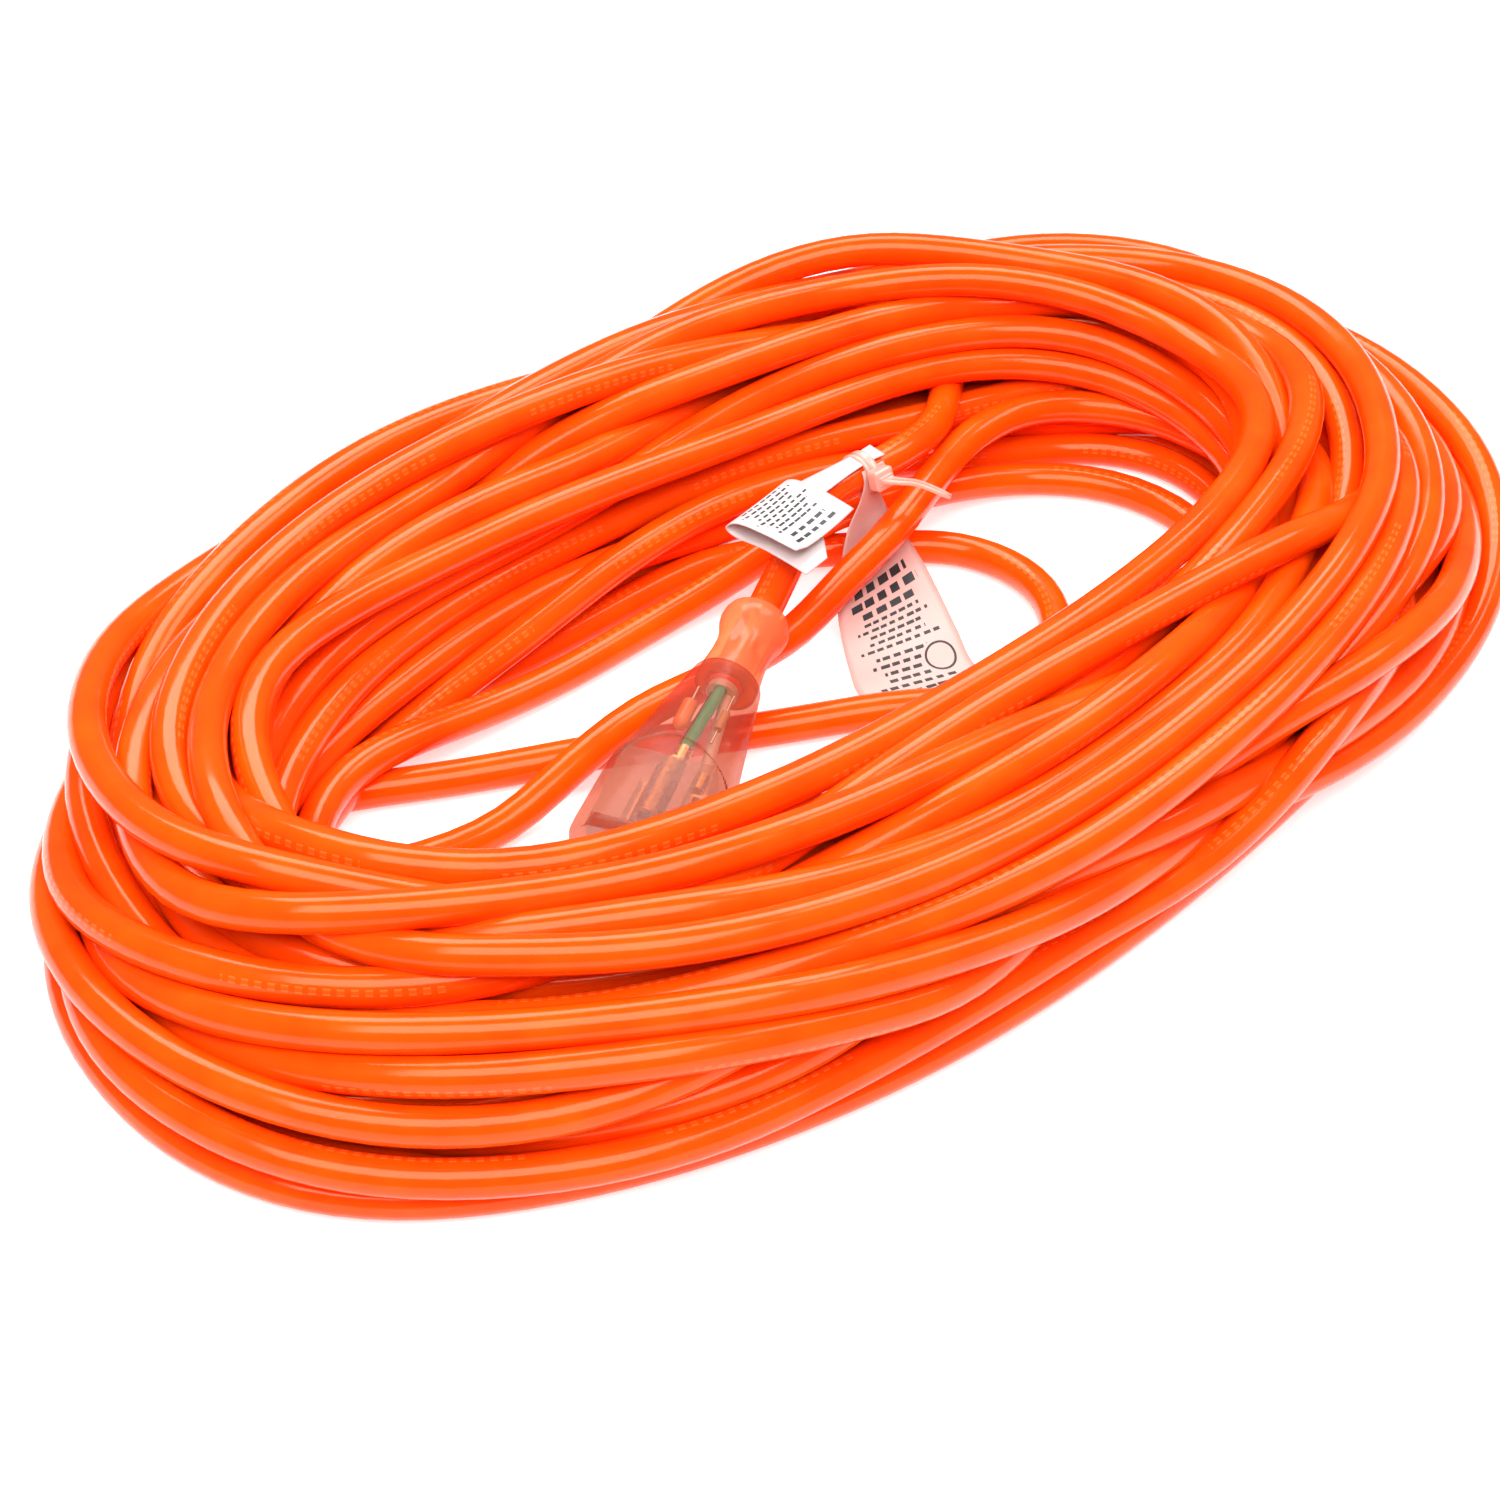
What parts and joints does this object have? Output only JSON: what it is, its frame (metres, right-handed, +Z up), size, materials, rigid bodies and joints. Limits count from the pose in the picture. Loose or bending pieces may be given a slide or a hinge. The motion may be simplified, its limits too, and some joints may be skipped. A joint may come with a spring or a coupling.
{
  "type": "extension cord",
  "caption": "Three-conductor outdoor extension cord laid in a loose oval coil, with a clear lighted three-hole connector inside the coil, a three-prong plug, a cable tie, a label and a tag.",
  "frame": {"origin": "centre of the coil on the surface that it lies on", "axes": "+X along the coil's length, +Y across it, away from the side that the connector's face points to, +Z up"},
  "size_m": [0.43, 0.246, 0.058],
  "materials": {
    "jacket": "glossy",
    "clear_overmould": "glossy, clear with a pink tint",
    "insert": "satin",
    "contacts": "satin",
    "black_insulation": "satin",
    "white_insulation": "satin",
    "green_insulation": "satin",
    "filler": "matte",
    "lamp_glass": "clear",
    "resistor": "satin",
    "tinned_wire": "satin",
    "nylon": "frosted",
    "white_film": "satin",
    "pale_film": "satin"
  },
  "bodies": {
    "cord": {"cord_coil": "jacket", "connector_lead": "jacket", "inner_turn": "jacket", "floor_loop": "jacket", "plug_lead": "jacket", "connector_strain_relief": "clear_overmould", "connector_body": "clear_overmould", "connector_face": "insert", "connector_line_contact": "contacts", "connector_neutral_contact": "contacts", "connector_ground_contact": "contacts", "connector_crimps": "contacts", "connector_black_wire": "black_insulation", "connector_white_wire": "white_insulation", "connector_green_wire": "green_insulation", "connector_filler": "filler", "power_lamp": "lamp_glass", "lamp_resistor": "resistor", "lamp_leads": "tinned_wire", "plug_strain_relief": "clear_overmould", "plug_body": "clear_overmould", "plug_bridge": "insert", "plug_line_blade": "contacts", "plug_neutral_blade": "contacts", "plug_ground_pin": "contacts", "plug_crimps": "contacts", "plug_black_wire": "black_insulation", "plug_white_wire": "white_insulation", "plug_green_wire": "green_insulation"},
    "tie": {"cable_tie": "nylon", "rating_label": "white_film", "safety_tag": "pale_film"}
  },
  "joints": [
    {"name": "tie_slide", "type": "slide", "parent": "cord", "child": "tie", "axis": [1, 0, 0], "range_m": [-0.005, 0.005]}
  ]
}
